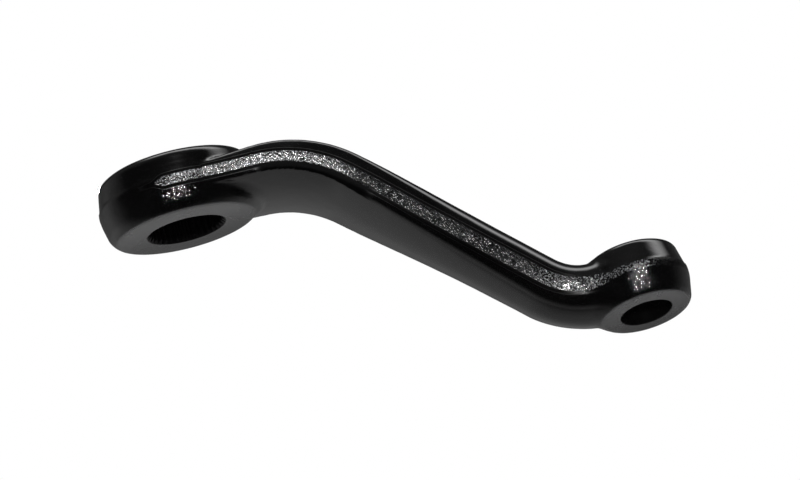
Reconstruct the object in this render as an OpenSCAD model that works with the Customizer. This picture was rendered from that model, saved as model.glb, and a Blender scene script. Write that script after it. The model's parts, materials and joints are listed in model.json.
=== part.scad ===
// Dropped pitman arm: one steel drop forging with a serrated eye, a cranked arm and a canted stud eye.
// +Z is the steering shaft's axis and +X runs to the stud eye. The arm hangs below the serrated eye.
// The origin is on the shaft's axis, at the height of the flash line that the trimmed dies left.

/* [Layout] */
// Distance between the two eyes, seen along the shaft
eye_spacing = 164; // [150:1:180]
// Drop from the serrated eye's flash line to the stud eye's
drop = 82.8; // [70:0.2:95]
// Angle that turns the stud eye's lower face towards -Y
cant = 11; // [0:0.5:14]

/* [Serrated eye] */
// Diameter at the flash line
big_eye_d = 64.4; // [62:0.2:68]
// Height of the upper face over the flash line
big_eye_up = 12.6; // [11.6:0.1:15]
// Depth of the machined lower face under the flash line
big_eye_down = 12; // [11.6:0.1:15]
// Radius on the upper face's edge
big_eye_top_r = 2.9; // [1:0.1:4]
// Radius on the lower face's edge
big_eye_low_r = 2.6; // [1:0.1:3]

/* [Serrations] */
// Number of equal teeth
serrations = 36; // [30:1:40]
// Diameter over the tooth roots at the lower face
root_d = 31.75; // [28:0.05:34]
// Radial depth of a tooth
tooth_depth = 1.3; // [0.8:0.1:1.6]
// Share of the pitch that each tooth's crest and root flat takes
flat_share = 0.2; // [0.1:0.02:0.3]
// Length over which the bore widens by one unit of diameter, going up
bore_taper = 16; // [12:1:24]
// How far the chamfer at both mouths of the bore reaches past the tooth roots
mouth_chamfer = 0.2; // [0.1:0.05:0.8]

/* [Stud eye] */
// Diameter at the flash line
small_eye_d = 41.2; // [40:0.2:44]
// Height of the upper face over the flash line
small_eye_up = 12; // [11.4:0.1:14]
// Depth of the machined lower face under the flash line
small_eye_down = 11.6; // [11:0.1:14]
// Radius on the upper face's edge
small_eye_top_r = 2.3; // [1:0.1:4]
// Radius on the lower face's edge
small_eye_low_r = 1.6; // [0.5:0.1:2]
// Diameter of the tapered hole at the lower face
stud_d = 20.7; // [18:0.1:22]
// Length over which the tapered hole narrows by one unit of diameter, going up
stud_taper = 8; // [6:1:12]

/* [Arm path] */
// Angle at which the arm falls out of the serrated eye
dip = 2.2; // [0:0.2:4]
// Angle at which the middle of the arm falls
fall = 43.6; // [41:0.2:46]
// Angle at which the arm still falls into the stud eye
tail = 0.4; // [0:0.2:4]
// Distance of the upper bend's corner from the shaft's axis
upper_bend_x = 50.8; // [48:0.2:55]
// Radius of the upper bend at the flash line
upper_bend_r = 48.4; // [42:0.2:56]
// Radius of the lower bend at the flash line
lower_bend_r = 33; // [26:0.2:36]

/* [Arm section] */
// Width at the flash line, carried back to the shaft's axis along the taper
arm_w_big = 60; // [57:0.5:62]
// Width at the flash line halfway along the arm
arm_w_middle = 38; // [36:0.2:40]
// Width at the flash line, carried on to the stud's axis along the taper
arm_w_small = 27.2; // [26:0.2:29]
// Height of the arm's top over the flash line, carried back to the shaft's axis
arm_up_big = 3.7; // [3.2:0.1:5]
// The same halfway along the arm
arm_up_middle = 10.4; // [9.8:0.1:11]
// The same at the stud's axis
arm_up_small = 10.3; // [9.6:0.1:11]
// Depth of the arm's underside below the flash line along its middle, carried back to the shaft's axis
arm_down_big = 6.8; // [6:0.1:9]
// The same halfway along the arm
arm_down_middle = 7.6; // [7:0.1:9]
// The same at the stud's axis
arm_down_small = 11.2; // [9.6:0.1:11.3]
// How much deeper the underside is along its middle than along its edges
crown = 1.8; // [0.5:0.1:2.2]
// Radius along the arm's top edges, near the serrated eye
arm_top_r_big = 1.8; // [1:0.1:2]
// The same near the stud eye
arm_top_r_small = 6.4; // [4:0.1:6.6]
// Radius along the arm's lower edges, near the serrated eye
arm_low_r_big = 0.8; // [0.5:0.1:1.5]
// The same near the stud eye
arm_low_r_small = 5.5; // [3:0.1:5.6]

/* [Forging] */
// Height of the band that trimming the flash left round the serrated eye
band_big = 3.8; // [3:0.1:4.5]
// The same along the arm, shortly before the stud eye
band_small = 6.4; // [4:0.1:6.6]
// The same round the stud eye
band_stud = 3.4; // [3:0.1:4.5]
// How far that band stands out of the wall above it
band_step = 0.35; // [0.1:0.05:0.6]
// Draft of the eyes' upper walls
eye_draft_up = 10; // [6:0.5:12]
// Draft of the eyes' lower walls
eye_draft_low = 13; // [8:0.5:15]
// Draft of the arm's upper walls
arm_draft_up = 9; // [5:0.5:12]
// Draft of the arm's lower walls
arm_draft_low = 11; // [5:0.5:14]
// Radius of the blend between the arm's top and the serrated eye's wall
big_blend_r = 6; // [3:0.5:7]
// Radius of the blend between the arm's top and the stud eye's wall
small_blend_r = 4; // [2:0.5:5]
// Distance from the shaft's axis over which the arm's sides flare out to meet the serrated eye
big_flare_length = 33; // [28:1:36]
// Distance from the stud's axis over which they flare out to meet the stud eye
small_flare_length = 31; // [28:1:36]

/* [Hidden] */
paint = [0.07, 0.07, 0.075];
$fn = 144;
past = 1;
// Where the swept arm starts inside the serrated eye and stops inside the stud eye
arm_start = 8;
arm_stop = 6;
// How far the arm's sides then are inside the eyes' own sides
big_inset = 0.5;
small_inset = 1.2;
// Distance between the arm's cross-sections, and the segments of a section's rounded edges
section_step = 3;
top_segments = 5;
low_segments = 6;
flat_segments = 6;
// Least distance from an eye's wall, as a share of the blend radius, so that no blend ends upright
blend_start = 0.15;
// Share of the eye's standing height that a blend may climb
blend_climb = 0.5;

// Corners of the flash line in the XZ plane, where its three straight stretches would meet
upper_corner = [upper_bend_x, -upper_bend_x * tan(dip)];
lower_corner_x = (upper_corner[1] + upper_bend_x * tan(fall) + drop - eye_spacing * tan(tail))
    / (tan(fall) - tan(tail));
lower_corner = [lower_corner_x, (eye_spacing - lower_corner_x) * tan(tail) - drop];
small_eye_at = [eye_spacing, 0, -drop];

// Lengths of the straight and bent stretches along the flash line
upper_turn = fall - dip;
lower_turn = fall - tail;
upper_tangent = upper_bend_r * tan(upper_turn / 2);
lower_tangent = lower_bend_r * tan(lower_turn / 2);
first_length = norm(upper_corner) - upper_tangent;
upper_length = upper_bend_r * upper_turn * PI / 180;
middle_length = norm(lower_corner - upper_corner) - upper_tangent - lower_tangent;
lower_length = lower_bend_r * lower_turn * PI / 180;
last_length = norm([eye_spacing, -drop] - lower_corner) - lower_tangent;
upper_bend_at = first_length;
middle_at = upper_bend_at + upper_length;
lower_bend_at = middle_at + middle_length;
last_at = lower_bend_at + lower_length;
path_length = last_at + last_length;

// Extra half width that the flares reach over the eyes' axes, so that the arm's ends stay inside the eyes
function taper_half(s) = through(arm_w_big, arm_w_middle, arm_w_small, s / path_length) / 2;
function chord_half(d, at) = sqrt(pow(d / 2, 2) - pow(at, 2));
big_flare = (chord_half(big_eye_d, arm_start) - big_inset - taper_half(arm_start))
    / pow(1 - arm_start / big_flare_length, 2);
small_flare = (chord_half(small_eye_d, arm_stop) - small_inset - taper_half(path_length - arm_stop))
    / pow(1 - arm_stop / small_flare_length, 2);

// The cant, and the radius of the edges, grow along the arm between these shares of the path
cant_from = -0.05;
cant_to = 0.45;
edges_from = 0.25;
edges_to = 0.7;
// The arm's band narrows to the stud eye's between these shares of the path
band_from = 0.88;
band_to = 0.97;

function mix(a, b, t) = a + (b - a) * t;
// Value at a share t of a length, on the parabola through its start, middle and end
function through(a, middle, b, t) =
    a * (1 - t) * (1 - 2 * t) + middle * 4 * t * (1 - t) + b * t * (2 * t - 1);
function clamp01(t) = min(1, max(0, t));
function clamp_to(t, most) = max(0, min(t, most));
function ease(t) = t * t * (3 - 2 * t);
function along(angle) = [cos(angle), sin(angle)];
function arc(centre, r, from, to, segments) =
    [for (i = [0:segments]) centre + r * along(mix(from, to, i / segments))];

// Point and direction of the flash line at a length s from the shaft's axis: [x, z, angle]
function path_at(s) =
    s < upper_bend_at ? let (p = s * along(-dip)) [p[0], p[1], -dip]
    : s < middle_at ? let (
        angle = -dip - (s - upper_bend_at) / upper_length * upper_turn,
        centre = upper_bend_at * along(-dip) + upper_bend_r * along(-dip - 90),
        p = centre + upper_bend_r * along(angle + 90)) [p[0], p[1], angle]
    : s < lower_bend_at ? let (
        p = upper_corner + (upper_tangent + s - middle_at) * along(-fall)) [p[0], p[1], -fall]
    : s < last_at ? let (
        angle = (s - lower_bend_at) / lower_length * lower_turn - fall,
        start = lower_corner - lower_tangent * along(-fall),
        centre = start + lower_bend_r * along(90 - fall),
        p = centre + lower_bend_r * along(angle - 90)) [p[0], p[1], angle]
    : let (p = lower_corner + (lower_tangent + s - last_at) * along(-tail)) [p[0], p[1], -tail];

// Half width, top height, underside depth, edge radii and cant of the arm at a length s
function half_width(s) =
    taper_half(s)
    + big_flare * pow(max(0, 1 - s / big_flare_length), 2)
    + small_flare * pow(max(0, 1 - (path_length - s) / small_flare_length), 2);
function arm_up(s) = through(arm_up_big, arm_up_middle, arm_up_small, s / path_length);
function arm_down(s) = through(arm_down_big, arm_down_middle, arm_down_small, s / path_length);
function grown(s, from, to) = ease(clamp01((s / path_length - from) / (to - from)));
function arm_top_r(s) = mix(arm_top_r_big, arm_top_r_small, grown(s, edges_from, edges_to));
function arm_low_r(s) = mix(arm_low_r_big, arm_low_r_small, grown(s, edges_from, edges_to));
function arm_band(s) =
    mix(mix(band_big, band_small, clamp01(s / path_length)), band_stud, grown(s, band_from, band_to));
function arm_cant(s) = cant * grown(s, cant_from, cant_to);

// Distance from the middle of a drafted, rounded edge's arc to the section's middle
function edge_middle(half, height, r, draft, band) =
    half - (height - r - band / 2) * tan(draft) - r / cos(draft);

// One side of a forged section, from the middle of its top round to the middle of its underside
function half_section(half, up, down, top_r, low_r, draft_up, draft_low, band, belly, tops, lows, flats) =
    let (
    edge = down - belly,
    top_x = edge_middle(half - band_step, up, top_r, draft_up, band),
    low_x = edge_middle(half, edge, low_r, draft_low, band)) concat(
    [for (i = [0:flats - 1]) [top_x * i / flats, up]],
    arc([top_x, up - top_r], top_r, 90, draft_up, tops),
    [[half - band_step, band / 2], [half, band / 2], [half, -band / 2]],
    arc([low_x, low_r - edge], low_r, -draft_low, -90, lows),
    [for (i = [flats - 1:-1:0]) [low_x * i / flats, belly * pow(i / flats, 2) - down]]);

// Height that the blend round an eye adds at a distance d from its wall
function blend(d, r) = let (gap = max(blend_start, d / r))
    gap >= 1 ? 0 : r * (1 - sqrt(1 - pow(1 - gap, 2)));
// Radius of an eye's upper wall at a height z over the flash line
function wall_r(d, z, band) = d / 2 - band_step - (z - band / 2) * tan(eye_draft_up);
// The stud eye's own coordinates of a point
function in_small_eye(p) = let (q = p - small_eye_at)
    [q[0], q[1] * cos(cant) - q[2] * sin(cant), q[1] * sin(cant) + q[2] * cos(cant)];

// A section's point [across, height] at a length s, turned by the cant, placed, its top blended into the eyes
function arm_point(s, point, side) = let (
    at = path_at(s),
    turn = -arm_cant(s),
    y = side * point[0] * cos(turn) - point[1] * sin(turn),
    n = side * point[0] * sin(turn) + point[1] * cos(turn),
    p = [at[0] - n * sin(at[2]), y, at[1] + n * cos(at[2])],
    edge = arm_band(s) / 2,
    share = clamp01((point[1] - edge) / (arm_up(s) - edge)),
    q = in_small_eye(p),
    big_gap = norm([p[0], p[1]]) - wall_r(big_eye_d, arm_up(s), band_big),
    small_gap = norm([q[0], q[1]]) - wall_r(small_eye_d, arm_up(s), band_stud),
    big = clamp_to(blend(big_gap, big_blend_r), (big_eye_up - arm_up(s)) * blend_climb),
    small = clamp_to(blend(small_gap, small_blend_r), (small_eye_up - arm_up(s)) * blend_climb))
    p + share * (big * [0, 0, 1] + small * [0, sin(cant), cos(cant)]);

// A whole ring of points round the arm at a length s
function arm_ring(s) = let (
    half = half_section(half_width(s), arm_up(s), arm_down(s), arm_top_r(s), arm_low_r(s),
        arm_draft_up, arm_draft_low, arm_band(s), crown, top_segments, low_segments, flat_segments),
    last = len(half) - 1) concat(
    [for (i = [0:last]) arm_point(s, half[i], 1)],
    [for (i = [last - 1:-1:1]) arm_point(s, half[i], -1)]);

// The cranked arm, as rings of one section joined along the flash line, with a fan of triangles at each end
module arm() {
    count = ceil((path_length - arm_stop - arm_start) / section_step);
    lengths = [for (k = [0:count]) mix(arm_start, path_length - arm_stop, k / count)];
    rings = [for (s = lengths) arm_ring(s)];
    sides = len(rings[0]);
    first_middle = len(lengths) * sides;
    last_middle = first_middle + 1;
    points = concat([for (ring = rings) each ring],
        [arm_point(lengths[0], [0, 0], 1), arm_point(lengths[count], [0, 0], 1)]);
    walls = [for (k = [0:count - 1], i = [0:sides - 1]) let (
        a = k * sides + i,
        b = k * sides + (i + 1) % sides) each [[a, b, b + sides], [a, b + sides, a + sides]]];
    ends = [for (i = [0:sides - 1]) let (
        j = (i + 1) % sides,
        far = count * sides) each [[first_middle, j, i], [last_middle, far + i, far + j]]];
    polyhedron(points, concat(walls, ends));
}

// A drafted, banded round eye, solid, with its flash line at z = 0
module eye(d, up, down, top_r, low_r, band) {
    side = half_section(d / 2, up, down, top_r, low_r, eye_draft_up, eye_draft_low, band,
        0, top_segments, top_segments, 1);
    rotate_extrude() polygon(side);
}

// Places its children on the canted stud eye's axis
module at_small_eye() {
    translate(small_eye_at) rotate([-cant, 0, 0]) children();
}

// Root radius of the tapered bore at a height z
function root_r(z) = root_d / 2 + (z + big_eye_down) / bore_taper / 2;
// Outline of the serrations for a given root radius
function serration_outline(root) = let (
    crest = root * (1 - tooth_depth / (root_d / 2)),
    pitch = 360 / serrations,
    flat = pitch * flat_share) [for (i = [0:serrations - 1]) each [
        root * along(i * pitch - flat / 2), root * along(i * pitch + flat / 2),
        crest * along((i + 0.5) * pitch - flat / 2), crest * along((i + 0.5) * pitch + flat / 2)]];

// The serrated bore, wider at the top where the shaft enters, with a chamfer at each mouth
module serrated_bore() {
    low = -big_eye_down - past;
    high = big_eye_up + past;
    translate([0, 0, low]) linear_extrude(high - low, scale = root_r(high) / root_r(low))
        polygon(serration_outline(root_r(low)));
    low_r = root_r(-big_eye_down) + mouth_chamfer;
    high_r = root_r(big_eye_up) + mouth_chamfer;
    depth = mouth_chamfer + tooth_depth + past;
    translate([0, 0, low]) cylinder(past + depth, low_r + past, low_r - depth);
    translate([0, 0, big_eye_up - depth]) cylinder(past + depth, high_r - depth, high_r + past);
}

// The tapered stud hole, wider at the lower face where the stud enters
module stud_hole() {
    low = -small_eye_down - past;
    high = small_eye_up + past;
    low_r = stud_d / 2 + past / stud_taper / 2;
    translate([0, 0, low]) cylinder(high - low, low_r, low_r - (high - low) / stud_taper / 2);
}

// The whole forging with its two holes
module pitman_arm() {
    color(paint) difference() {
        union() {
            eye(big_eye_d, big_eye_up, big_eye_down, big_eye_top_r, big_eye_low_r, band_big);
            arm();
            at_small_eye() eye(small_eye_d, small_eye_up, small_eye_down, small_eye_top_r, small_eye_low_r,
                band_stud);
        }
        serrated_bore();
        at_small_eye() stud_hole();
    }
}

pitman_arm();
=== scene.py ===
# %% [markdown]
# # A dropped pitman arm
# A pitman arm hangs from a steering box and swings the drag link. This one is a single drop forging of
# steel: an eye with a serrated bore, a cranked arm that drops away from it, and a smaller canted eye with
# a tapered hole. It is painted gloss black all over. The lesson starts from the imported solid, which gives
# the places and the size, and ends with a smooth mesh of the same forging in its paint.

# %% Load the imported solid
import json
from itertools import product

import bpy
import numpy as np
from mathutils import Matrix, Quaternion, Vector


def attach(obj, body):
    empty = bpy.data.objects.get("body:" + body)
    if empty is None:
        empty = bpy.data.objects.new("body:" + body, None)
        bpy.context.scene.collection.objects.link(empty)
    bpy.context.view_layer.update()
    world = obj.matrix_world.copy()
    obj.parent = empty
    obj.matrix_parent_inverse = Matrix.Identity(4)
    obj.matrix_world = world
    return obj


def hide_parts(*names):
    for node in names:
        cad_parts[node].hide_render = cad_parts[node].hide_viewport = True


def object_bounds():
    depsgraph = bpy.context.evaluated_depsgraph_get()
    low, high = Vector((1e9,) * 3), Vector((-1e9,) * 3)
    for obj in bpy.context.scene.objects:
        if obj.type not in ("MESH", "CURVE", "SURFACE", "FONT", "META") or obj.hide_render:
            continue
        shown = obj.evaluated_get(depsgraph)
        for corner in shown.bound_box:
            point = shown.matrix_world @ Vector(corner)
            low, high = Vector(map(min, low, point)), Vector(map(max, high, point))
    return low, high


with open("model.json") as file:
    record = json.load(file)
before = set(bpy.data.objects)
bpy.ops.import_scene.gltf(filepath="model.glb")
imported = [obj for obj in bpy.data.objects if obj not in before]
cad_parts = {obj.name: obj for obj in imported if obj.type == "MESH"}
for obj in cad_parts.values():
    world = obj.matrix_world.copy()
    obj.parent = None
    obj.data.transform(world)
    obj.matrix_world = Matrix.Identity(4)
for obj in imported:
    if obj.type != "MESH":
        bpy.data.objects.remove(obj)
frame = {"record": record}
cad_low, cad_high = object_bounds()
print("solid's box in mm:", [round(1000 * (b - a), 1) for a, b in zip(cad_low, cad_high)])

# %% [markdown]
# ## Where the eyes are
# The record's mounts say where the two holes and two of the machined faces are, so the places and the
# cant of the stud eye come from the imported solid. Lengths are in millimetres until a mesh is made,
# because a forging is drawn in millimetres and a field of small numbers is easier to read.

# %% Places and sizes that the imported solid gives
MM = 0.001
mounts = {m["name"]: m for m in frame["record"]["mounts"]}
stud_place = np.array(mounts["stud_hole"]["pos_m"]) / MM
stud_axis = -np.array(mounts["stud_hole"]["axis"])
CANT = np.arctan2(stud_axis[1], stud_axis[2])
EYE_SPACING, DROP = stud_place[0], -stud_place[2]
BIG_R = -cad_low.x / MM
BIG_UP = cad_high.z / MM
BIG_DOWN = -mounts["shaft_nut_seat"]["pos_m"][2] / MM
SMALL_R = cad_high.x / MM - EYE_SPACING
SMALL_UP = (np.array(mounts["stud_nut_seat"]["pos_m"]) / MM - stud_place) @ stud_axis
SMALL_DOWN = 11.6
print(f"eyes {EYE_SPACING:.1f} mm apart, {DROP:.1f} mm of drop, {np.degrees(CANT):.1f} degrees of cant")
print(f"serrated eye radius {BIG_R:.1f} mm, stud eye radius {SMALL_R:.1f} mm")

# %% [markdown]
# ## The camera
# The photograph looks at the arm from below, so the machined lower faces show, and it is tilted in the
# frame. A long lens keeps the eyes' ellipses alike. The camera is placed by its position, by the azimuth
# and elevation of its view and by a roll about its own axis, which are easier to read than a matrix.

# %% Camera at the photograph's angle
CAMERA_AT = Vector((48.89, -948.84, -286.02)) * MM
VIEW_AZIMUTH, VIEW_ELEVATION, VIEW_ROLL = np.radians((-1.87, -14.575, -15.96))
LENS, SENSOR = 112.35, 36.0

camera = bpy.data.objects.new("camera", bpy.data.cameras.new("camera"))
camera.data.lens, camera.data.sensor_width = LENS, SENSOR
back = Vector((np.sin(VIEW_AZIMUTH) * np.cos(VIEW_ELEVATION),
               -np.cos(VIEW_AZIMUTH) * np.cos(VIEW_ELEVATION), np.sin(VIEW_ELEVATION)))
camera.location = CAMERA_AT
camera.rotation_mode = "QUATERNION"
roll = Quaternion((0, 0, 1), VIEW_ROLL)
camera.rotation_quaternion = (-back).to_track_quat("-Z", "Y") @ roll
bpy.context.scene.collection.objects.link(camera)
bpy.context.scene.camera = camera
bpy.context.scene.view_settings.view_transform = "Standard"
print("camera", round(CAMERA_AT.length, 3), "m from the shaft's axis")

# %% [markdown]
# ## The flash line
# The two dies meet along a line that runs down the middle of the arm's sides: two bends between three
# straight stretches. A field needs the reverse of a drawing: for any point, how far along that line it
# lies and how far above it. Each stretch answers for itself and the nearest one wins.

# %% The flash line's straight stretches and bends
DIP, FALL, TAIL = np.radians((2.2, 43.6, 0.4))
UPPER_BEND_X, UPPER_BEND_R, LOWER_BEND_R = 50.8, 48.4, 33.0


def heading(angle):
    """Unit vector in the XZ plane at an angle from +X."""
    return np.array([np.cos(angle), np.sin(angle)])


upper_corner = np.array([UPPER_BEND_X, -UPPER_BEND_X * np.tan(DIP)])
fall_at_x0 = upper_corner[1] + UPPER_BEND_X * np.tan(FALL)
tail_at_x0 = EYE_SPACING * np.tan(TAIL) - DROP
lower_corner_x = (fall_at_x0 - tail_at_x0) / (np.tan(FALL) - np.tan(TAIL))
lower_corner = np.array([lower_corner_x, tail_at_x0 - lower_corner_x * np.tan(TAIL)])
stud_corner = np.array([EYE_SPACING, -DROP])
upper_turn, lower_turn = FALL - DIP, FALL - TAIL
upper_cut = UPPER_BEND_R * np.tan(upper_turn / 2)
lower_cut = LOWER_BEND_R * np.tan(lower_turn / 2)
upper_at = np.linalg.norm(upper_corner) - upper_cut
fall_at = upper_at + UPPER_BEND_R * upper_turn
lower_at = fall_at + np.linalg.norm(lower_corner - upper_corner) - upper_cut - lower_cut
tail_at = lower_at + LOWER_BEND_R * lower_turn
LINE_LENGTH = tail_at + np.linalg.norm(stud_corner - lower_corner) - lower_cut
print(f"flash line {LINE_LENGTH:.1f} mm long, bends at {upper_at:.1f} and {lower_at:.1f} mm")

# %% How far along the flash line a point lies, and how far above it
FAR = 1000.0


def beside_stretch(x, z, start, angle, least, most):
    """Length along a straight stretch, height above it and distance from it."""
    ahead = heading(angle)
    run = np.clip((x - start[0]) * ahead[0] + (z - start[1]) * ahead[1], least, most)
    off_x, off_z = x - start[0] - run * ahead[0], z - start[1] - run * ahead[1]
    return run, off_z * ahead[0] - off_x * ahead[1], np.hypot(off_x, off_z)


def beside_bend(x, z, centre, r, middle, turn, over):
    """The same along a bend: over is 1 where the line runs over the bend's centre, -1 where under."""
    off_x, off_z = x - centre[0], z - centre[1]
    angle = (np.arctan2(off_z, off_x) - middle + np.pi) % (2 * np.pi) - np.pi
    angle = np.clip(angle, -turn / 2, turn / 2)
    near_x, near_z = centre[0] + r * np.cos(middle + angle), centre[1] + r * np.sin(middle + angle)
    return r * (turn / 2 - over * angle), over * (np.hypot(off_x, off_z) - r), np.hypot(x - near_x, z - near_z)


upper_centre = upper_at * heading(-DIP) - UPPER_BEND_R * heading(np.pi / 2 - DIP)
lower_centre = lower_corner - lower_cut * heading(-FALL) + LOWER_BEND_R * heading(np.pi / 2 - FALL)


def beside_flash_line(x, z):
    """Length along the whole flash line and height above it."""
    fall_start = upper_corner + upper_cut * heading(-FALL)
    tail_start = lower_corner + lower_cut * heading(-TAIL)
    stretches = (
        (0.0, beside_stretch(x, z, (0.0, 0.0), -DIP, -FAR, upper_at)),
        (upper_at, beside_bend(x, z, upper_centre, UPPER_BEND_R, np.pi / 2 - DIP - upper_turn / 2, upper_turn, 1)),
        (fall_at, beside_stretch(x, z, fall_start, -FALL, 0.0, lower_at - fall_at)),
        (lower_at, beside_bend(x, z, lower_centre, LOWER_BEND_R, lower_turn / 2 - FALL - np.pi / 2, lower_turn, -1)),
        (tail_at, beside_stretch(x, z, tail_start, -TAIL, 0.0, FAR)))
    nearest = np.full_like(x, np.inf)
    along, above = np.zeros_like(x), np.zeros_like(x)
    for start, (run, height, distance) in stretches:
        closer = distance < nearest
        along = np.where(closer, start + run, along)
        above = np.where(closer, height, above)
        nearest = np.where(closer, distance, nearest)
    return along, above


# %% [markdown]
# ## The forged section
# Both eyes and the arm share one kind of section, because the same pair of dies struck them: a flat top
# and bottom, drafted walls so that the piece leaves the dies, rounded edges, and a band at the flash line
# where the squeezed-out metal was sheared off. The section is written as a distance: negative inside,
# zero on the surface. Rounding two surfaces into each other is then one line of arithmetic.

# %% Rounded joints between distances
def round_both(a, b, r):
    """Where both are solid, with the outer edge rounded to a radius."""
    return np.minimum(-r, np.maximum(a, b)) + np.hypot(np.maximum(a + r, 0), np.maximum(b + r, 0))


def round_either(a, b, r):
    """Where either is solid, with the inner corner filled to a radius."""
    return np.maximum(r, np.minimum(a, b)) - np.hypot(np.maximum(r - a, 0), np.maximum(r - b, 0))


def soft_both(a, b, reach):
    """Where both are solid, with a shallow edge eased over a reach."""
    share = np.maximum(reach - np.abs(a - b), 0) / reach
    return np.maximum(a, b) + share * share * reach / 4


def mix(a, b, t):
    return a + (b - a) * t


def through(a, middle, b, t):
    """Value at a share of a length, on the parabola through its start, middle and end."""
    return a * (1 - t) * (1 - 2 * t) + middle * 4 * t * (1 - t) + b * t * (2 * t - 1)


def ease(t):
    t = np.clip(t, 0, 1)
    return t * t * (3 - 2 * t)


# %% Distance from a forged section
LEAST_STEP, STEP_FILLET = 0.0, 0.3


def forged_section(across, height, half, up, down, top_r, low_r, draft_up, draft_low, band, easing,
                   crown=0.0, step=LEAST_STEP):
    """Distance from a section: across its middle, height over the flash line, half width at the band."""
    upper_wall = (across - half + step) * np.cos(draft_up) + (height - band / 2) * np.sin(draft_up)
    lower_wall = (across - half) * np.cos(draft_low) - (height + band / 2) * np.sin(draft_low)
    low_x = half - (down - crown - low_r - band / 2) * np.tan(draft_low) - low_r / np.cos(draft_low)
    underside = crown * np.minimum(across / low_x, 1) ** 2 - down - height
    upper = np.maximum(round_both(upper_wall, height - up, top_r), -height)
    side = soft_both(across - half, lower_wall, easing)
    lower = np.maximum(round_both(side, underside, low_r), height - band / 2)
    return round_either(upper, lower, STEP_FILLET)


# %% The two eyes
EYE_DRAFT_UP, EYE_DRAFT_LOW = np.radians((10.0, 13.0))
BAND_BIG, BAND_SMALL, BAND_STUD = 3.8, 6.4, 3.4
BIG_TOP_R, BIG_LOW_R, BIG_OFF, BIG_EASING = 2.9, 5.0, 0.8, 0.6
SMALL_TOP_R, SMALL_LOW_R, SMALL_OFF, SMALL_EASING = 2.3, 3.0, 0.6, 0.3
MACHINED_EDGE = 0.5
EYE_STEP, STEP_FROM, STEP_LENGTH = 0.35, 12.0, 12.0


def in_stud_eye(x, y, z):
    """A point in the canted stud eye's own coordinates."""
    y, z = y - stud_place[1], z - stud_place[2]
    return x - stud_place[0], y * np.cos(CANT) - z * np.sin(CANT), y * np.sin(CANT) + z * np.cos(CANT)


def serrated_eye(x, y, z):
    step = mix(LEAST_STEP, EYE_STEP, ease((-x - STEP_FROM) / STEP_LENGTH))
    return forged_section(np.hypot(x, y), z, BIG_R, BIG_UP, BIG_DOWN + BIG_OFF, BIG_TOP_R, BIG_LOW_R,
                          EYE_DRAFT_UP, EYE_DRAFT_LOW, BAND_BIG, BIG_EASING, step=step)


def stud_eye(x, y, z):
    x, y, z = in_stud_eye(x, y, z)
    step = mix(LEAST_STEP, EYE_STEP, ease(x / STEP_LENGTH))
    return forged_section(np.hypot(x, y), z, SMALL_R, SMALL_UP, SMALL_DOWN + SMALL_OFF, SMALL_TOP_R, SMALL_LOW_R,
                          EYE_DRAFT_UP, EYE_DRAFT_LOW, BAND_STUD, SMALL_EASING, step=step)


# %% The cranked arm between them
ARM_START, ARM_STOP, BIG_INSET, SMALL_INSET = 8.0, 6.0, 0.5, 1.2
ARM_W_BIG, ARM_W_MIDDLE, ARM_W_SMALL = 60.0, 38.0, 27.2
BIG_FLARE_LENGTH, SMALL_FLARE_LENGTH = 33.0, 31.0
ARM_UP_BIG, ARM_UP_MIDDLE, ARM_UP_SMALL = 3.7, 10.4, 10.3
ARM_DOWN_BIG, ARM_DOWN_MIDDLE, ARM_DOWN_SMALL = 6.8, 7.6, 11.2
ARM_TOP_R_BIG, ARM_TOP_R_SMALL, ARM_LOW_R_BIG, ARM_LOW_R_SMALL = 1.8, 6.4, 0.8, 5.5
ARM_CROWN, ARM_EASING = 1.8, 0.05
ARM_DRAFT_UP, ARM_DRAFT_LOW = np.radians((9.0, 11.0))
CANT_FROM, CANT_TO, EDGES_FROM, EDGES_TO = -0.05, 0.45, 0.25, 0.7
NARROWS_FROM, NARROWS_TO = 0.88, 0.97


def taper_half(along):
    return through(ARM_W_BIG, ARM_W_MIDDLE, ARM_W_SMALL, np.clip(along / LINE_LENGTH, 0, 1)) / 2


def flare_to(radius, inside, inset, half, length):
    """Extra half width over an eye's axis that brings the arm's end to just inside the eye's wall."""
    return (np.sqrt(radius**2 - inside**2) - inset - half) / (1 - inside / length) ** 2


big_flare = flare_to(BIG_R, ARM_START, BIG_INSET, taper_half(ARM_START), BIG_FLARE_LENGTH)
small_flare = flare_to(SMALL_R, ARM_STOP, SMALL_INSET, taper_half(LINE_LENGTH - ARM_STOP), SMALL_FLARE_LENGTH)


def arm_band(share):
    """Height of the sheared band at a share of the flash line."""
    narrowed = ease((share - NARROWS_FROM) / (NARROWS_TO - NARROWS_FROM))
    return mix(mix(BAND_BIG, BAND_SMALL, share), BAND_STUD, narrowed)


def in_arm_section(x, y, z):
    """Length along the arm, and the place across and above its canted section."""
    along, above = beside_flash_line(x, z)
    turn = CANT * ease((along / LINE_LENGTH - CANT_FROM) / (CANT_TO - CANT_FROM))
    return along, y * np.cos(turn) - above * np.sin(turn), y * np.sin(turn) + above * np.cos(turn)


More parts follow.
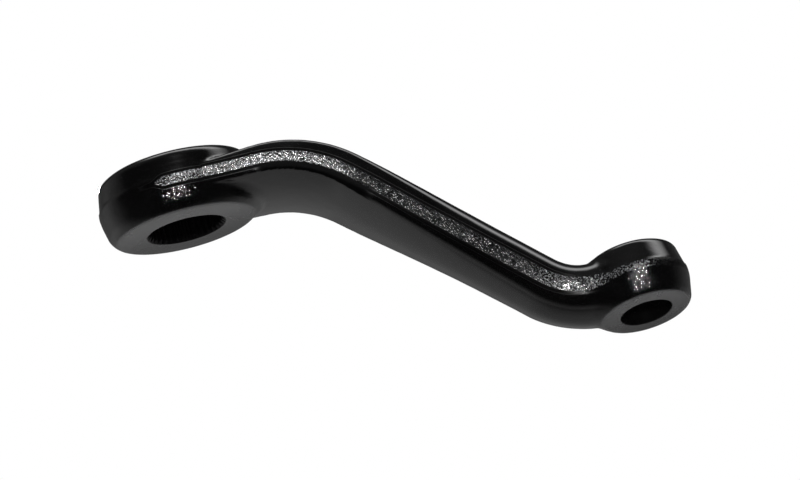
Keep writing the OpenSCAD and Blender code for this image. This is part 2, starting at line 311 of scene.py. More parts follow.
def cranked_arm(x, y, z):
    along, across, height = in_arm_section(x, y, z)
    share = np.clip(along / LINE_LENGTH, 0, 1)
    grown = ease((share - EDGES_FROM) / (EDGES_TO - EDGES_FROM))
    half = (taper_half(along)
            + big_flare * np.maximum(0, 1 - np.maximum(along, 0) / BIG_FLARE_LENGTH) ** 2
            + small_flare * np.maximum(0, 1 - (LINE_LENGTH - along) / SMALL_FLARE_LENGTH) ** 2)
    inside_eye = np.sqrt(np.maximum(BIG_R**2 - along**2, 0)) - BIG_INSET
    half = np.where(along < ARM_START, np.minimum(half, inside_eye), half)
    section = forged_section(
        np.abs(across), height, half, through(ARM_UP_BIG, ARM_UP_MIDDLE, ARM_UP_SMALL, share),
        through(ARM_DOWN_BIG, ARM_DOWN_MIDDLE, ARM_DOWN_SMALL, share), mix(ARM_TOP_R_BIG, ARM_TOP_R_SMALL, grown),
        mix(ARM_LOW_R_BIG, ARM_LOW_R_SMALL, grown), ARM_DRAFT_UP, ARM_DRAFT_LOW,
        arm_band(share), ARM_EASING, ARM_CROWN)
    return np.maximum(section, np.maximum(-along, along - LINE_LENGTH + ARM_STOP))


# %% The whole forging, with the fillets that the dies leave where the arm meets the eyes
BIG_FILLET, SMALL_FILLET, LOW_FILLET, BAND_FILLET = 1.6, 1.5, 3.0, 0.3
FILLET_FROM, FILLET_TO, FILLET_CLEAR, FILLET_FULL = 2.0, 6.0, 14.0, 30.0
UNDER_REACH = 6.0


def fillet_at(height, clear, upper_r):
    """Fillets are wide on the arm's top and underside, and narrow at the band and where the arm starts."""
    wide = np.where(height > 0, upper_r, LOW_FILLET)
    share = ease((np.abs(height) - FILLET_FROM) / (FILLET_TO - FILLET_FROM))
    return mix(BAND_FILLET, wide, share * ease((clear - FILLET_CLEAR) / (FILLET_FULL - FILLET_CLEAR)))


def forging(points):
    """Distance of points, one to a row, from the solid forging without its holes."""
    x, y, z = points.T
    stud_x, stud_y, stud_z = in_stud_eye(x, y, z)
    solid = round_either(cranked_arm(x, y, z), serrated_eye(x, y, z), fillet_at(z, x, BIG_FILLET))
    solid = round_either(solid, stud_eye(x, y, z), fillet_at(stud_z, FILLET_CLEAR - stud_x, SMALL_FILLET))
    under_big = np.hypot(x, y) < BIG_R + UNDER_REACH
    under_small = np.hypot(stud_x, stud_y) < SMALL_R + UNDER_REACH
    solid = np.where(under_big, round_both(solid, -BIG_DOWN - z, MACHINED_EDGE), solid)
    return np.where(under_small, round_both(solid, -SMALL_DOWN - stud_z, MACHINED_EDGE), solid)


# %% [markdown]
# ## From a field to a mesh
# A surface net lays a grid through the field and puts one point in every cell that the surface crosses,
# then joins the points of neighbouring cells with quads. The points start near the surface, and a few
# steps along the field's own slope put them exactly on it. Between the steps each point moves towards the
# middle of its neighbours, which evens out the quads so that gloss paint shows no ripple.

# %% Lay a grid through the field
CELL = 0.75
MARGIN_CELLS = 3
grid_low = np.array(cad_low) / MM - MARGIN_CELLS * CELL
grid_count = np.ceil((np.array(cad_high) / MM - grid_low) / CELL).astype(int) + MARGIN_CELLS + 1
axes = [grid_low[i] + CELL * np.arange(grid_count[i]) for i in range(3)]
values = np.empty(grid_count)
for column, x in enumerate(axes[0]):
    y, z = np.meshgrid(axes[1], axes[2], indexing="ij")
    values[column] = forging(np.stack([np.full(y.size, x), y.ravel(), z.ravel()], 1)).reshape(y.shape)
print("grid of", " x ".join(map(str, grid_count)), "points,", int((values < 0).sum()), "of them in the steel")


# %% Put a point in each crossed cell and join the neighbours
def surface_net(values):
    """Points in grid units and outward quads of the zero surface of a field."""
    steps = np.array(list(product((0, 1), repeat=3)))
    inside = values < 0
    shape = np.array(values.shape) - 1
    corners = sum(inside[tuple(slice(s, s + n) for s, n in zip(step, shape))].astype(np.int8) for step in steps)
    crossed = (corners > 0) & (corners < len(steps))
    cells = np.argwhere(crossed)
    number = np.full(shape, -1)
    number[crossed] = np.arange(len(cells))
    total, count = np.zeros((len(cells), 3)), np.zeros((len(cells), 1))
    for a, b in product(steps, steps):
        if (b - a).sum() == 1 and (b >= a).all():
            from_value, to_value = values[tuple((cells + a).T)], values[tuple((cells + b).T)]
            hit = ((from_value < 0) != (to_value < 0))[:, None]
            share = (from_value / np.where(hit[:, 0], from_value - to_value, 1))[:, None]
            total += np.where(hit, cells + a + share * (b - a), 0)
            count += hit
    quads = []
    for axis in range(3):
        one, two, three = np.roll(np.eye(3, dtype=int), -axis, axis=0)
        low = inside[tuple(slice(0, n) for n in np.array(values.shape) - one)]
        high = inside[tuple(slice(s, None) for s in one)]
        for leaving in (True, False):
            edges = np.argwhere((low != high) & (low == leaving))
            around = [edges, edges - two, edges - two - three, edges - three]
            ring = [number[tuple(cell.T)] for cell in around]
            quads.append(np.stack(ring if leaving else ring[::-1], 1))
    return total / count, np.concatenate(quads)


net_points, net_quads = surface_net(values)
net_points = grid_low + CELL * net_points
print(len(net_points), "points and", len(net_quads), "quads")

# %% Settle the points on the surface
SETTLE_ROUNDS, SLOPE_STEP = 4, 0.02


def slope(points):
    """Gradient of the field at points."""
    return np.stack([forging(points + step) - forging(points - step)
                     for step in SLOPE_STEP * np.eye(3)], 1) / (2 * SLOPE_STEP)


def settle(points, quads):
    """Evens out the points along the surface and drops them onto it."""
    ends = np.concatenate([quads[:, [i, (i + 1) % 4]] for i in range(4)])
    for _ in range(SETTLE_ROUNDS):
        total, count = np.zeros_like(points), np.zeros(len(points))
        np.add.at(total, ends[:, 0], points[ends[:, 1]])
        np.add.at(count, ends[:, 0], 1)
        uphill = slope(points)
        normal = uphill / np.linalg.norm(uphill, axis=1, keepdims=True)
        shift = total / count[:, None] - points
        points = points + shift - normal * (shift * normal).sum(1, keepdims=True)
        uphill = slope(points)
        points = points - uphill * (forging(points) / (uphill**2).sum(1))[:, None]
    return points


net_points = settle(net_points, net_quads)
print("farthest point from the surface:", round(float(np.abs(forging(net_points)).max()), 4), "mm")


# %% Make the Blender mesh
def add_mesh(name, points, faces):
    """A new object at the origin, from points in millimetres."""
    mesh = bpy.data.meshes.new(name)
    mesh.from_pydata(np.asarray(points) * MM, [], np.asarray(faces).tolist())
    mesh.validate()
    obj = bpy.data.objects.new(name, mesh)
    bpy.context.scene.collection.objects.link(obj)
    return obj


arm = add_mesh("forged_arm", net_points, net_quads)
print("forging's box in mm:", [round(float(v), 1) for v in np.ptp(net_points, axis=0)])

# %% [markdown]
# ## The holes
# The holes are machined after forging, so they are cut as a machinist would: a tapered cutter for each,
# taken away with a Boolean modifier. That leaves a crisp edge that no grid of cells could give.

# %% Cut the two tapered holes
ROOT_D, BORE_TAPER, MOUTH_CHAMFER = 31.75, 16.0, 0.2
STUD_D, STUD_TAPER, STUD_BREAK = 20.7, 8.0, 0.25
CUT_PAST, CUT_SIDES = 2.0, 180


def root_r(z):
    """Radius over the tooth roots at a height, wider at the top where the shaft enters."""
    return ROOT_D / 2 + (z + BIG_DOWN) / BORE_TAPER / 2


def stud_r(z):
    """Radius of the stud's hole at a height, wider at the bottom where the stud enters."""
    return STUD_D / 2 - (z + SMALL_DOWN) / STUD_TAPER / 2


def turned(name, profile, sides):
    """A closed turned solid about Z, from the radius and height of each corner of its side."""
    turns = np.arange(sides) * 2 * np.pi / sides
    points = [(r * np.cos(a), r * np.sin(a), z) for r, z in profile for a in turns]
    faces = [(k * sides + i, k * sides + (i + 1) % sides, (k + 1) * sides + (i + 1) % sides, (k + 1) * sides + i)
             for k in range(len(profile) - 1) for i in range(sides)]
    ends = [tuple(reversed(range(sides))), tuple(range((len(profile) - 1) * sides, len(profile) * sides))]
    mesh = bpy.data.meshes.new(name)
    mesh.from_pydata(np.array(points) * MM, [], faces + ends)
    obj = bpy.data.objects.new(name, mesh)
    bpy.context.scene.collection.objects.link(obj)
    return obj


def cutter_profile(radius_at, low, high, chamfer):
    """Side of a cutter with a chamfer at both faces."""
    return ((radius_at(low) + chamfer + CUT_PAST, low - CUT_PAST), (radius_at(low), low + chamfer),
            (radius_at(high), high - chamfer), (radius_at(high) + chamfer + CUT_PAST, high + CUT_PAST))


def keep_result(obj, modifier):
    """Makes what the modifier gives the object's own plain mesh, and removes the modifier."""
    mesh = bpy.data.meshes.new_from_object(obj.evaluated_get(bpy.context.evaluated_depsgraph_get()))
    obj.modifiers.remove(modifier)
    old = obj.data
    obj.data = mesh
    bpy.data.meshes.remove(old)


def cut(obj, cutter):
    """Takes the cutter's volume away from the object and deletes the cutter."""
    taken = obj.modifiers.new("cut", "BOOLEAN")
    taken.operation, taken.solver, taken.object = "DIFFERENCE", "EXACT", cutter
    keep_result(obj, taken)
    bpy.data.objects.remove(cutter)


bore_cutter = turned("bore_cutter", cutter_profile(root_r, -BIG_DOWN, BIG_UP, MOUTH_CHAMFER), CUT_SIDES)
stud_cutter = turned("stud_cutter", cutter_profile(stud_r, -SMALL_DOWN, SMALL_UP, STUD_BREAK), CUT_SIDES)
stud_cutter.data.transform(Matrix.Translation(Vector(stud_place) * MM) @ Matrix.Rotation(-CANT, 4, "X"))
cut(arm, bore_cutter)
cut(arm, stud_cutter)
print("after the cuts:", len(arm.data.vertices), "points,", len(arm.data.polygons), "faces")

# %% [markdown]
# ## What the finishes need to know
# The paint looks different on the sheared band, on the machined faces and on the forged skin. Each point
# of the mesh therefore carries a few numbers: how far inside the band it lies, how much of a forged skin
# it has, and its place along, across and above the arm, so that streaks can follow the bends.

# %% Store the finish of every point
BAND_FROM, BAND_GROWS, BAND_GONE = -8.0, 6.0, 0.4
SKIN_RAMP, HOLE_RIM = 0.8, 0.15
GRAIN_TOP, GRAIN_FADE, SMOOTH_GRAIN = 1.5, 3.0, 0.08
SIDE_FROM, SIDE_RAMP, SIDE_START, SIDE_END = 0.35, 0.05, 30.0, 86.0


def points_of(mesh):
    """A mesh's points in millimetres, one to a row."""
    points = np.empty(3 * len(mesh.vertices))
    mesh.vertices.foreach_get("co", points)
    return points.reshape(-1, 3) / MM


def store(mesh, name, kind, values):
    """Writes one value, or one vector, for every point of a mesh."""
    field = "vector" if kind == "FLOAT_VECTOR" else "value"
    data = mesh.attributes.new(name, kind, "POINT").data
    data.foreach_set(field, np.asarray(values, dtype=np.float32).ravel())


def inside_band(points):
    """Distance inside the sheared band, negative outside it. It ends at the serrated eye's front and back."""
    x, y, z = points.T
    along, across, height = in_arm_section(x, y, z)
    stud_height = in_stud_eye(x, y, z)[2]
    on_arm = arm_band(np.clip(along / LINE_LENGTH, 0, 1)) / 2 - np.abs(height)
    on_big = BAND_BIG / 2 - np.abs(z)
    on_small = BAND_STUD / 2 - np.abs(stud_height)
    distances = np.abs([cranked_arm(x, y, z), serrated_eye(x, y, z), stud_eye(x, y, z)])
    inside = np.choose(distances.argmin(0), [on_arm, on_big, on_small])
    return inside - (BAND_BIG / 2 + BAND_GONE) * ease(1 - (x - BAND_FROM) / BAND_GROWS)


def forged_share(points):
    """1 on the forged skin, 0 on the machined faces and in the holes."""
    x, y, z = points.T
    stud_x, stud_y, stud_z = in_stud_eye(x, y, z)
    big = np.minimum(np.minimum(z + BIG_DOWN, BIG_UP - z), np.hypot(x, y) - root_r(z))
    small = np.minimum(np.minimum(stud_z + SMALL_DOWN, SMALL_UP - stud_z), np.hypot(stud_x, stud_y) - stud_r(stud_z))
    from_big = np.where(np.hypot(x, y) < BIG_R, big, SKIN_RAMP)
    from_small = np.where(np.hypot(stud_x, stud_y) < SMALL_R, small, SKIN_RAMP)
    return ease(np.minimum(from_big, from_small) / SKIN_RAMP)


def outside_holes(points):
    """1 outside the two holes, 0 on their walls."""
    stud_x, stud_y, stud_z = in_stud_eye(*points.T)
    from_bore = np.hypot(points[:, 0], points[:, 1]) - root_r(points[:, 2])
    from_stud = np.hypot(stud_x, stud_y) - stud_r(stud_z)
    return ease(np.minimum(from_bore, from_stud) / HOLE_RIM)


def skin_grain(points):
    """1 on the lower walls of the eyes, where the skin is grainy, and little on the rest of the skin."""
    x, y, z = points.T
    stud_x, stud_y, stud_z = in_stud_eye(x, y, z)
    big = ease(BIG_R + 1 - np.hypot(x, y)) * ease((GRAIN_TOP - z) / GRAIN_FADE)
    small = ease(SMALL_R + 1 - np.hypot(stud_x, stud_y)) * ease((GRAIN_TOP - stud_z) / GRAIN_FADE)
    return mix(SMOOTH_GRAIN, 1.0, np.maximum(big, small)) * forged_share(points)


def low_side(mesh, points):
    """1 on the first half of the arm's sides below the band, 0 elsewhere."""
    along, across, height = in_arm_section(*points.T)
    normals = np.empty(3 * len(mesh.vertices))
    mesh.vertex_normals.foreach_get("vector", normals)
    sideways = ease((np.abs(normals.reshape(-1, 3)[:, 1]) - SIDE_FROM) / SIDE_RAMP)
    on_first_half = ease((points[:, 0] - SIDE_START) / 6) * ease((SIDE_END - along) / 10)
    return sideways * on_first_half * (height < -BAND_BIG / 2)


finish_points = points_of(arm.data)
skin = forged_share(finish_points)
store(arm.data, "skin", "FLOAT", skin)
store(arm.data, "band", "FLOAT", inside_band(finish_points))
store(arm.data, "outside", "FLOAT", outside_holes(finish_points))
store(arm.data, "grain", "FLOAT", skin_grain(finish_points))
store(arm.data, "low_side", "FLOAT", low_side(arm.data, finish_points))
store(arm.data, "arm_place", "FLOAT_VECTOR", np.stack(in_arm_section(*finish_points.T), 1) * MM)
print(f"{skin.mean():.0%} of the points have a forged skin")

# %% Short hands for node trees
FACTOR, COLOUR_A, COLOUR_B, COLOUR_OUT = 0, 6, 7, 2


class Nodes:
    """Adds nodes to a tree and joins them, so that a recipe reads from top to bottom."""

    def __init__(self, tree):
        self.tree = tree

    def add(self, kind, settings=None, **inputs):
        node = self.tree.nodes.new(kind)
        for name, value in (settings or {}).items():
            setattr(node, name, value)
        for name, value in inputs.items():
            self.feed(node.inputs[name.replace("_", " ")], value)
        return node

    def feed(self, socket, value):
        if isinstance(value, bpy.types.NodeSocket):
            self.tree.links.new(value, socket)
        else:
            socket.default_value = value

    def math(self, operation, a, b=0.0, c=0.0):
        node = self.tree.nodes.new("ShaderNodeMath")
        node.operation = operation
        for socket, value in zip(node.inputs, (a, b, c)):
            self.feed(socket, value)
        return node.outputs[0]

    def between(self, value, low, high, to_low=0.0, to_high=1.0, smooth=True):
        node = self.add("ShaderNodeMapRange", {"interpolation_type": "SMOOTHSTEP" if smooth else "LINEAR"},
                        Value=value, From_Min=low, From_Max=high, To_Min=to_low, To_Max=to_high)
        return node.outputs["Result"]

    def mix_colour(self, factor, a, b):
        node = self.tree.nodes.new("ShaderNodeMix")
        node.data_type = "RGBA"
        for index, value in ((FACTOR, factor), (COLOUR_A, a), (COLOUR_B, b)):
            self.feed(node.inputs[index], value)
        return node.outputs[COLOUR_OUT]


def new_material(name):
    material = bpy.data.materials.new(name)
    material.use_nodes = True
    return material, Nodes(material.node_tree), material.node_tree.nodes["Principled BSDF"]


# %% [markdown]
# ## The paint
# One coat of gloss black covers everything, so the finishes differ by what lies under the paint. The forged skin is
# slightly grainy and its gloss breaks into glints. The sheared band is torn metal: coarse, with marks that run straight
# up and down as the trimming punch moved, and with pale flecks of worn steel laid on where the band glints, so they are
# partly painted glints. The machined faces are smoother, and their colour is lighter towards the front: a painted
# reflection. The machined faces are smoother and show faint
# rub marks. One material holds all three and the stored numbers choose between them.

# %% The black paint over forged, sheared and machined steel
# Amounts of pale flecks on the band's stretches: worn steel, laid on more where the band glints, so partly painted
# glints
FLECKS_AND_GLINTS_FIRST, FLECKS_AND_GLINTS_FALL, FLECKS_AND_GLINTS_LAST = 0.36, 0.04, 0.17
BAND_OUTER, BAND_INNER = -0.1, 0.2
DULL_OUTER, DULL_INNER = -1.7, -1.0
SKIN_GRAIN, BAND_GRAIN, TORN_GRAIN, MACHINED_GRAIN = 0.00013, 0.00018, 0.00012, 0.0


def painted_steel():
    material, nodes, shader = new_material("black_paint_on_steel")
    place = nodes.add("ShaderNodeTexCoord").outputs["Object"]
    band = nodes.add("ShaderNodeAttribute", {"attribute_name": "band"}).outputs["Fac"]
    skin = nodes.add("ShaderNodeAttribute", {"attribute_name": "skin"}).outputs["Fac"]
    on_band = nodes.math("MULTIPLY", nodes.between(band, BAND_OUTER, BAND_INNER), skin)
    near_band = nodes.math("MULTIPLY", nodes.between(band, DULL_OUTER, DULL_INNER), skin)
    low_side = nodes.add("ShaderNodeAttribute", {"attribute_name": "low_side"}).outputs["Fac"]
    lengthwise = nodes.add("ShaderNodeSeparateXYZ", Vector=place).outputs["X"]
    along_arm = nodes.math("MULTIPLY", nodes.between(lengthwise, -0.016, -0.008), nodes.between(lengthwise, 0.15, 0.13))
    at_edge = nodes.math("MULTIPLY", nodes.math("SUBTRACT", near_band, on_band), along_arm)
    at_edge = nodes.math("MAXIMUM", at_edge, low_side)
    cloud = nodes.add("ShaderNodeTexNoise", Vector=place, Scale=60.0, Detail=4.0).outputs["Fac"]
    grain = nodes.add("ShaderNodeTexNoise", Vector=place, Scale=1900.0, Detail=0.5).outputs["Fac"]
    grain = nodes.math("SUBTRACT", grain, 0.5)
    outside = nodes.add("ShaderNodeAttribute", {"attribute_name": "outside"}).outputs["Fac"]
    graininess = nodes.add("ShaderNodeAttribute", {"attribute_name": "grain"}).outputs["Fac"]
    arm_place = nodes.add("ShaderNodeAttribute", {"attribute_name": "arm_place"}).outputs["Vector"]
    along = nodes.add("ShaderNodeSeparateXYZ", Vector=arm_place).outputs["X"]
    on_fall = nodes.math("MULTIPLY", nodes.between(along, 0.058, 0.078), nodes.between(along, 0.168, 0.155))
    streaky = nodes.add("ShaderNodeMapping", Vector=arm_place, Scale=(0.06, 1.0, 1.0)).outputs["Vector"]
    streak = nodes.add("ShaderNodeTexNoise", Vector=streaky, Scale=700.0, Detail=2.0).outputs["Fac"]
    upright = nodes.add("ShaderNodeMapping", Vector=place, Scale=(1.0, 1.0, 0.25)).outputs["Vector"]
    torn = nodes.add("ShaderNodeTexNoise", Vector=upright, Scale=1500.0, Detail=1.0).outputs["Fac"]
    torn = nodes.math("SUBTRACT", torn, 0.5)
    fleck = nodes.add("ShaderNodeTexNoise", Vector=place, Scale=1900.0, Detail=0.5).outputs["Fac"]

    tone = nodes.mix_colour(nodes.between(cloud, 0.35, 0.65), (0.0008, 0.0008, 0.0009, 1), (0.0014, 0.0014, 0.0015, 1))
    # Machined faces: their colour grows lighter towards the front, a painted reflection
    across = nodes.add("ShaderNodeSeparateXYZ", Vector=place).outputs["Y"]
    face_with_painted_reflection = nodes.mix_colour(nodes.between(across, 0.02, -0.02), (0.006, 0.006, 0.0062, 1), (0.07, 0.07, 0.071, 1))
    tone = nodes.mix_colour(nodes.between(skin, 0.0, 1.0), face_with_painted_reflection, tone)
    # Pale flecks of worn steel on the band, thickest where it glints: partly painted glints
    on_first = nodes.between(along, 0.07, 0.05)
    on_last = nodes.between(along, 0.148, 0.158)
    flecks_and_painted_glints = nodes.math("ADD", nodes.between(on_first, 0.0, 1.0, FLECKS_AND_GLINTS_FALL, FLECKS_AND_GLINTS_FIRST),
                         nodes.math("MULTIPLY", on_last, FLECKS_AND_GLINTS_LAST))
    flecks_and_painted_glints = nodes.math("MULTIPLY", flecks_and_painted_glints, nodes.between(fleck, 0.48, 0.66))
    flecks_and_painted_glints = nodes.math("MULTIPLY", flecks_and_painted_glints, nodes.math("MULTIPLY", on_band, nodes.between(lengthwise, 0.174, 0.164)))
    tone = nodes.mix_colour(flecks_and_painted_glints, tone, (0.5, 0.51, 0.53, 1))
    tone = nodes.mix_colour(outside, (0.0024, 0.0024, 0.0025, 1), tone)
    nodes.feed(shader.inputs["Base Color"], tone)
    on_stud = nodes.between(lengthwise, 0.156, 0.162)
    duller = nodes.math("MULTIPLY", on_band, nodes.math("MAXIMUM", on_fall, on_stud))
    dull = nodes.between(duller, 0.0, 1.0, 1.0, 0.22)
    dull = nodes.math("MULTIPLY", dull, nodes.between(at_edge, 0.0, 1.0, 1.0, 0.03))
    dull = nodes.math("MULTIPLY", dull, nodes.between(outside, 0.0, 1.0, 0.16, 1.0))
    nodes.feed(shader.inputs["Specular IOR Level"], dull)

    rough = nodes.between(cloud, 0.3, 0.7, 0.075, 0.105)
    rough = nodes.math("ADD", rough, nodes.between(skin, 0.0, 1.0, 0.18, 0.0))
    rough = nodes.math("ADD", rough, nodes.between(on_band, 0.0, 1.0, 0.0, 0.03))
    rough = nodes.math("ADD", rough, nodes.math("MULTIPLY", skin, nodes.between(streak, 0.35, 0.7, 0.0, 0.04)))
    rough = nodes.math("ADD", rough, nodes.between(at_edge, 0.0, 1.0, 0.0, 0.4))
    nodes.feed(shader.inputs["Roughness"], rough)

    grain_height = nodes.between(graininess, 0.0, 1.0, MACHINED_GRAIN, SKIN_GRAIN, smooth=False)
    grain_height = nodes.math("MAXIMUM", grain_height, nodes.math("MULTIPLY", on_band, BAND_GRAIN))
    torn_height = nodes.math("MULTIPLY", on_band, nodes.between(on_fall, 0.0, 1.0, TORN_GRAIN, 2.5 * TORN_GRAIN))
    torn_height = nodes.math("MULTIPLY", torn, torn_height)
    height = nodes.math("MULTIPLY_ADD", grain, grain_height, torn_height)
    bump = nodes.add("ShaderNodeBump", Strength=1.0, Distance=1.0, Height=height)
    nodes.feed(shader.inputs["Normal"], bump.outputs["Normal"])
    return material


paint = painted_steel()
print("paint with", len(paint.node_tree.nodes), "nodes")

# %% [markdown]
# ## The serrations
# A splined shaft is kept from turning by teeth all round the bore. One tooth is a wedge with a flat crest,
# and its two ends slope away where the bore's mouths are chamfered. Geometry Nodes repeat it: as many points
# as teeth at the bore's axis, one tooth on each, turned a step further every time.

# %% One tooth of the bore
TEETH, TOOTH_DEPTH, FLAT_SHARE, TOOTH_SUNK = 36, 1.3, 0.2, 0.15


def tooth_corners(z, inward, half_turn):
    """The tooth's two corners at a height and a depth from the root, to both sides of its middle."""
    r = root_r(z) - inward
    return [(r * np.cos(turn), r * np.sin(turn), z) for turn in (-half_turn, half_turn)]


pitch = 2 * np.pi / TEETH
half_turns = (pitch * (1 - FLAT_SHARE) / 2, pitch * FLAT_SHARE / 2)
tooth_points = []
for inward, half_turn in zip((-TOOTH_SUNK, TOOTH_DEPTH), half_turns):
    for z in (-BIG_DOWN + MOUTH_CHAMFER + inward, BIG_UP - MOUTH_CHAMFER - inward):
        tooth_points += tooth_corners(z, inward, half_turn)
tooth_faces = ((0, 4, 5, 1), (2, 3, 7, 6), (0, 2, 6, 4), (1, 5, 7, 3), (4, 6, 7, 5), (0, 1, 3, 2))
serrations = add_mesh("bore_serrations", tooth_points, tooth_faces)
print("a tooth", round(BIG_UP + BIG_DOWN - 2 * MOUTH_CHAMFER, 1), "mm long")


# %% Repeat the tooth round the bore
def new_tree(name, inputs):
    """A geometry node tree with a geometry in and out and named inputs, and its group input's sockets."""
    tree = bpy.data.node_groups.new(name, "GeometryNodeTree")
    tree.interface.new_socket("Geometry", in_out="INPUT", socket_type="NodeSocketGeometry")
    tree.interface.new_socket("Geometry", in_out="OUTPUT", socket_type="NodeSocketGeometry")
    for label, kind in inputs:
        tree.interface.new_socket(label, in_out="INPUT", socket_type=kind)
    nodes = Nodes(tree)
    return tree, nodes, nodes.add("NodeGroupInput").outputs


def end_tree(nodes, geometry, material):
    """Realizes the geometry, gives it its material and puts it out."""
    real = nodes.add("GeometryNodeRealizeInstances", Geometry=geometry).outputs["Geometry"]
    painted = nodes.add("GeometryNodeSetMaterial", Geometry=real, Material=material).outputs["Geometry"]
    nodes.add("NodeGroupOutput", Geometry=painted)


def run_tree(obj, tree, values):
    """Runs a tree on an object with its inputs set, and keeps the result as a plain mesh."""
    modifier = obj.modifiers.new(tree.name, "NODES")
    modifier.node_group = tree
    for item in tree.interface.items_tree:
        if item.in_out == "INPUT" and item.name in values:
            modifier[item.identifier] = values[item.name]
    keep_result(obj, modifier)


tree, nodes, given = new_tree("teeth_round_axis", (("Count", "NodeSocketInt"), ("Material", "NodeSocketMaterial")))
step = nodes.math("DIVIDE", 2 * np.pi, given["Count"])
turn = nodes.math("MULTIPLY", nodes.add("GeometryNodeInputIndex").outputs["Index"], step)
rotation = nodes.add("FunctionNodeEulerToRotation", Euler=nodes.add("ShaderNodeCombineXYZ", Z=turn).outputs["Vector"])
ring = nodes.add("GeometryNodeInstanceOnPoints", Points=nodes.add("GeometryNodePoints", Count=given["Count"]).outputs[0],
                 Instance=given["Geometry"], Rotation=rotation.outputs["Rotation"])
end_tree(nodes, ring.outputs["Instances"], given["Material"])
run_tree(serrations, tree, {"Count": TEETH, "Material": paint})
print(len(serrations.data.polygons), "faces in", TEETH, "teeth")

# %% [markdown]
# ## The forged skin
# No forging is as true as its drawing: scale and worn dies leave shallow lumps that make the gloss waver.
# Geometry Nodes move every point of the mesh along its normal by a little noise, held back by the stored
# skin number so that the machined faces and the holes stay true.

# %% Raise the skin's shallow lumps
SKIN_SEED, LUMP_HEIGHT, LUMP_SCALE = 7.0, 0.00012, 160.0

tree, nodes, given = new_tree("forged_skin", (
    ("Height", "NodeSocketFloat"), ("Scale", "NodeSocketFloat"), ("Seed", "NodeSocketFloat"),
    ("Material", "NodeSocketMaterial")))
lumps = nodes.add("ShaderNodeTexNoise", {"noise_dimensions": "4D"}, W=given["Seed"], Scale=given["Scale"], Detail=2.0)
rough_skin = nodes.add("GeometryNodeInputNamedAttribute", {"data_type": "FLOAT"}, Name="skin").outputs["Attribute"]
lift = nodes.math("MULTIPLY", nodes.math("SUBTRACT", lumps.outputs["Fac"], 0.5), given["Height"])
lift = nodes.math("MULTIPLY", lift, rough_skin)
offset = nodes.add("ShaderNodeVectorMath", {"operation": "SCALE"},
                   Vector=nodes.add("GeometryNodeInputNormal").outputs["Normal"], Scale=lift)
moved = nodes.add("GeometryNodeSetPosition", Geometry=given["Geometry"], Offset=offset.outputs["Vector"])
end_tree(nodes, moved.outputs["Geometry"], given["Material"])
run_tree(arm, tree, {"Height": LUMP_HEIGHT, "Scale": LUMP_SCALE, "Seed": SKIN_SEED, "Material": paint})
print("lumps up to", round(500 * LUMP_HEIGHT, 3), "mm high")

# %% Smooth shading with crisp edges, and the pieces put on the body in place of the hidden imported solid
CRISP_ANGLE = np.radians(35)
arm.data.shade_smooth()
arm.data.set_sharp_from_angle(angle=CRISP_ANGLE)
for piece in (arm, serrations):
    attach(piece, "root")
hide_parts("pitman_arm")
print("pieces:", arm.name, serrations.name)

# %% [markdown]
# ## Floor and light
# The part hangs in front of a white sweep and is seen from below, so the floor is far down and out of the picture.
# Gloss black shows little but what it reflects: a long softbox overhead, the sweep behind, a dim floor and the dark
# room round the camera. The world gives the paint all four, and gives everything else an even fill. Two small bright
# lamps beside the camera make the glints, and a third behind lights the far side.

# %% A pale floor far below
FLOOR_Z, FLOOR_HALF, FLOOR_GLOW = -1.4, 4.0, 0.6
floor = add_mesh("floor", [(x / MM, y / MM, FLOOR_Z / MM) for x, y in (
    (-FLOOR_HALF, -FLOOR_HALF), (FLOOR_HALF, -FLOOR_HALF), (FLOOR_HALF, FLOOR_HALF), (-FLOOR_HALF, FLOOR_HALF))],
    ((0, 1, 2, 3),))
floor_paint, nodes, shader = new_material("pale_floor")
shader.inputs["Roughness"].default_value = 0.9
speckle = nodes.add("ShaderNodeTexNoise", Vector=nodes.add("ShaderNodeTexCoord").outputs["Object"], Scale=3.0)
nodes.feed(shader.inputs["Base Color"], nodes.mix_colour(speckle.outputs["Fac"], (0.9, 0.9, 0.9, 1), (0.94, 0.94, 0.94, 1)))
seen = nodes.add("ShaderNodeLightPath").outputs["Is Camera Ray"]
nodes.feed(shader.inputs["Emission Strength"], nodes.math("MULTIPLY", seen, FLOOR_GLOW))
floor.data.materials.append(floor_paint)
floor.visible_glossy = False
print("floor", round(-FLOOR_Z, 2), "m below the shaft's eye")

# %% The studio that the gloss reflects
OVERHEAD_LEVEL, LEFT_LEVEL = 2.6, 0.18
world = bpy.data.worlds.new("studio")
bpy.context.scene.world = world
world.use_nodes = True
sky = Nodes(world.node_tree)
paths = sky.add("ShaderNodeLightPath").outputs
split = sky.add("ShaderNodeSeparateXYZ", Vector=sky.add("ShaderNodeTexCoord").outputs["Generated"]).outputs


def levels(value, stops):
    """Grey levels at given sines, joined by straight ramps."""
    node = sky.add("ShaderNodeValToRGB", Fac=sky.between(value, -1.0, 1.0, smooth=False))
    for _ in stops[2:]:
        node.color_ramp.elements.new(1.0)
    for element, (sine, level) in zip(node.color_ramp.elements, stops):
        element.position = (sine + 1) / 2
        element.color = (level, level, level, 1)
    return node.outputs["Color"]


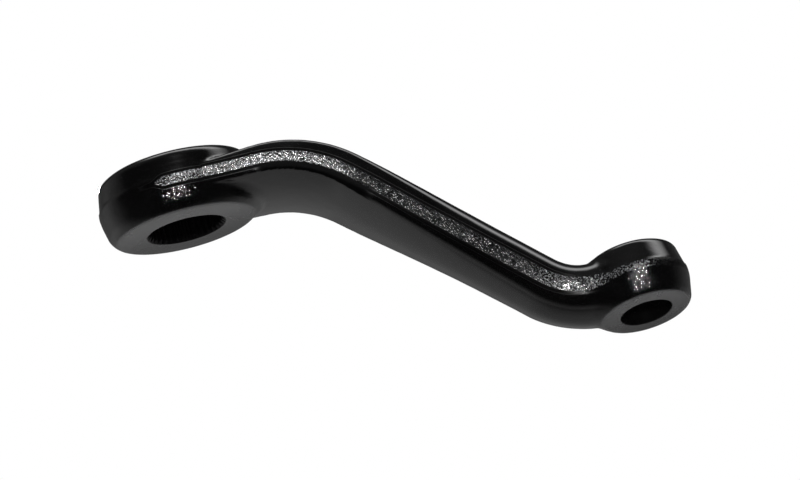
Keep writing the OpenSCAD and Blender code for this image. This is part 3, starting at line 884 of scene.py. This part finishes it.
behind = levels(split["Y"], ((-0.15, 0.0), (0.5, 1.0)))
back_level = levels(split["Z"], ((-0.6, 0.21), (-0.38, 0.26), (-0.15, 0.26), (0.0, 0.15), (0.5, 0.06)))
front_level = levels(split["Z"], ((0.3, 0.012), (0.6, 0.02), (0.85, 0.11)))
left = sky.between(split["X"], -0.5, -0.95, 0.0, LEFT_LEVEL)
back_level = sky.math("ADD", back_level, left)
studio = sky.mix_colour(behind, front_level, back_level)
overhead = sky.math("MULTIPLY", sky.between(sky.math("ABSOLUTE", split["Y"]), 0.36, 0.0), sky.between(split["Z"], 0.35, 0.75))
overhead = sky.math("MULTIPLY", overhead, sky.between(split["X"], -0.4, -0.1))
studio = sky.mix_colour(overhead, studio, (OVERHEAD_LEVEL, OVERHEAD_LEVEL, OVERHEAD_LEVEL, 1.0))
white = (1.0, 1.0, 1.0, 1.0)
fill = (0.35, 0.35, 0.35, 1.0)
lit = sky.mix_colour(paths["Is Glossy Ray"], fill, studio)
lit = sky.mix_colour(sky.math("MAXIMUM", paths["Is Camera Ray"], paths["Is Transmission Ray"]), lit, white)
sky.feed(world.node_tree.nodes["Background"].inputs["Color"], lit)
print("studio with", len(world.node_tree.nodes), "nodes")

# %% Two small lamps beside the camera
LAMP_DISTANCE, LAMP_RADIUS = 4.0, 0.06
LAMPS = (("low_lamp", 2.0, -3.5, 150.0), ("high_lamp", 14.0, 22.5, 350.0), ("back_lamp", 190.0, 20.0, 350.0))


def add_lamp(name, kind, power, place):
    light = bpy.data.lights.new(name, kind)
    light.energy = power
    lamp = bpy.data.objects.new(name, light)
    lamp.location = place
    lamp.visible_camera = False
    bpy.context.scene.collection.objects.link(lamp)
    return light


middle = (Vector(cad_low) + Vector(cad_high)) / 2
for name, azimuth, elevation, power in LAMPS:
    azimuth, elevation = np.radians((azimuth, elevation))
    towards = Vector((np.sin(azimuth) * np.cos(elevation), -np.cos(azimuth) * np.cos(elevation), np.sin(elevation)))
    add_lamp(name, "POINT", power, middle + LAMP_DISTANCE * towards).shadow_soft_size = LAMP_RADIUS
print(len(LAMPS), "lamps", LAMP_DISTANCE, "m away")
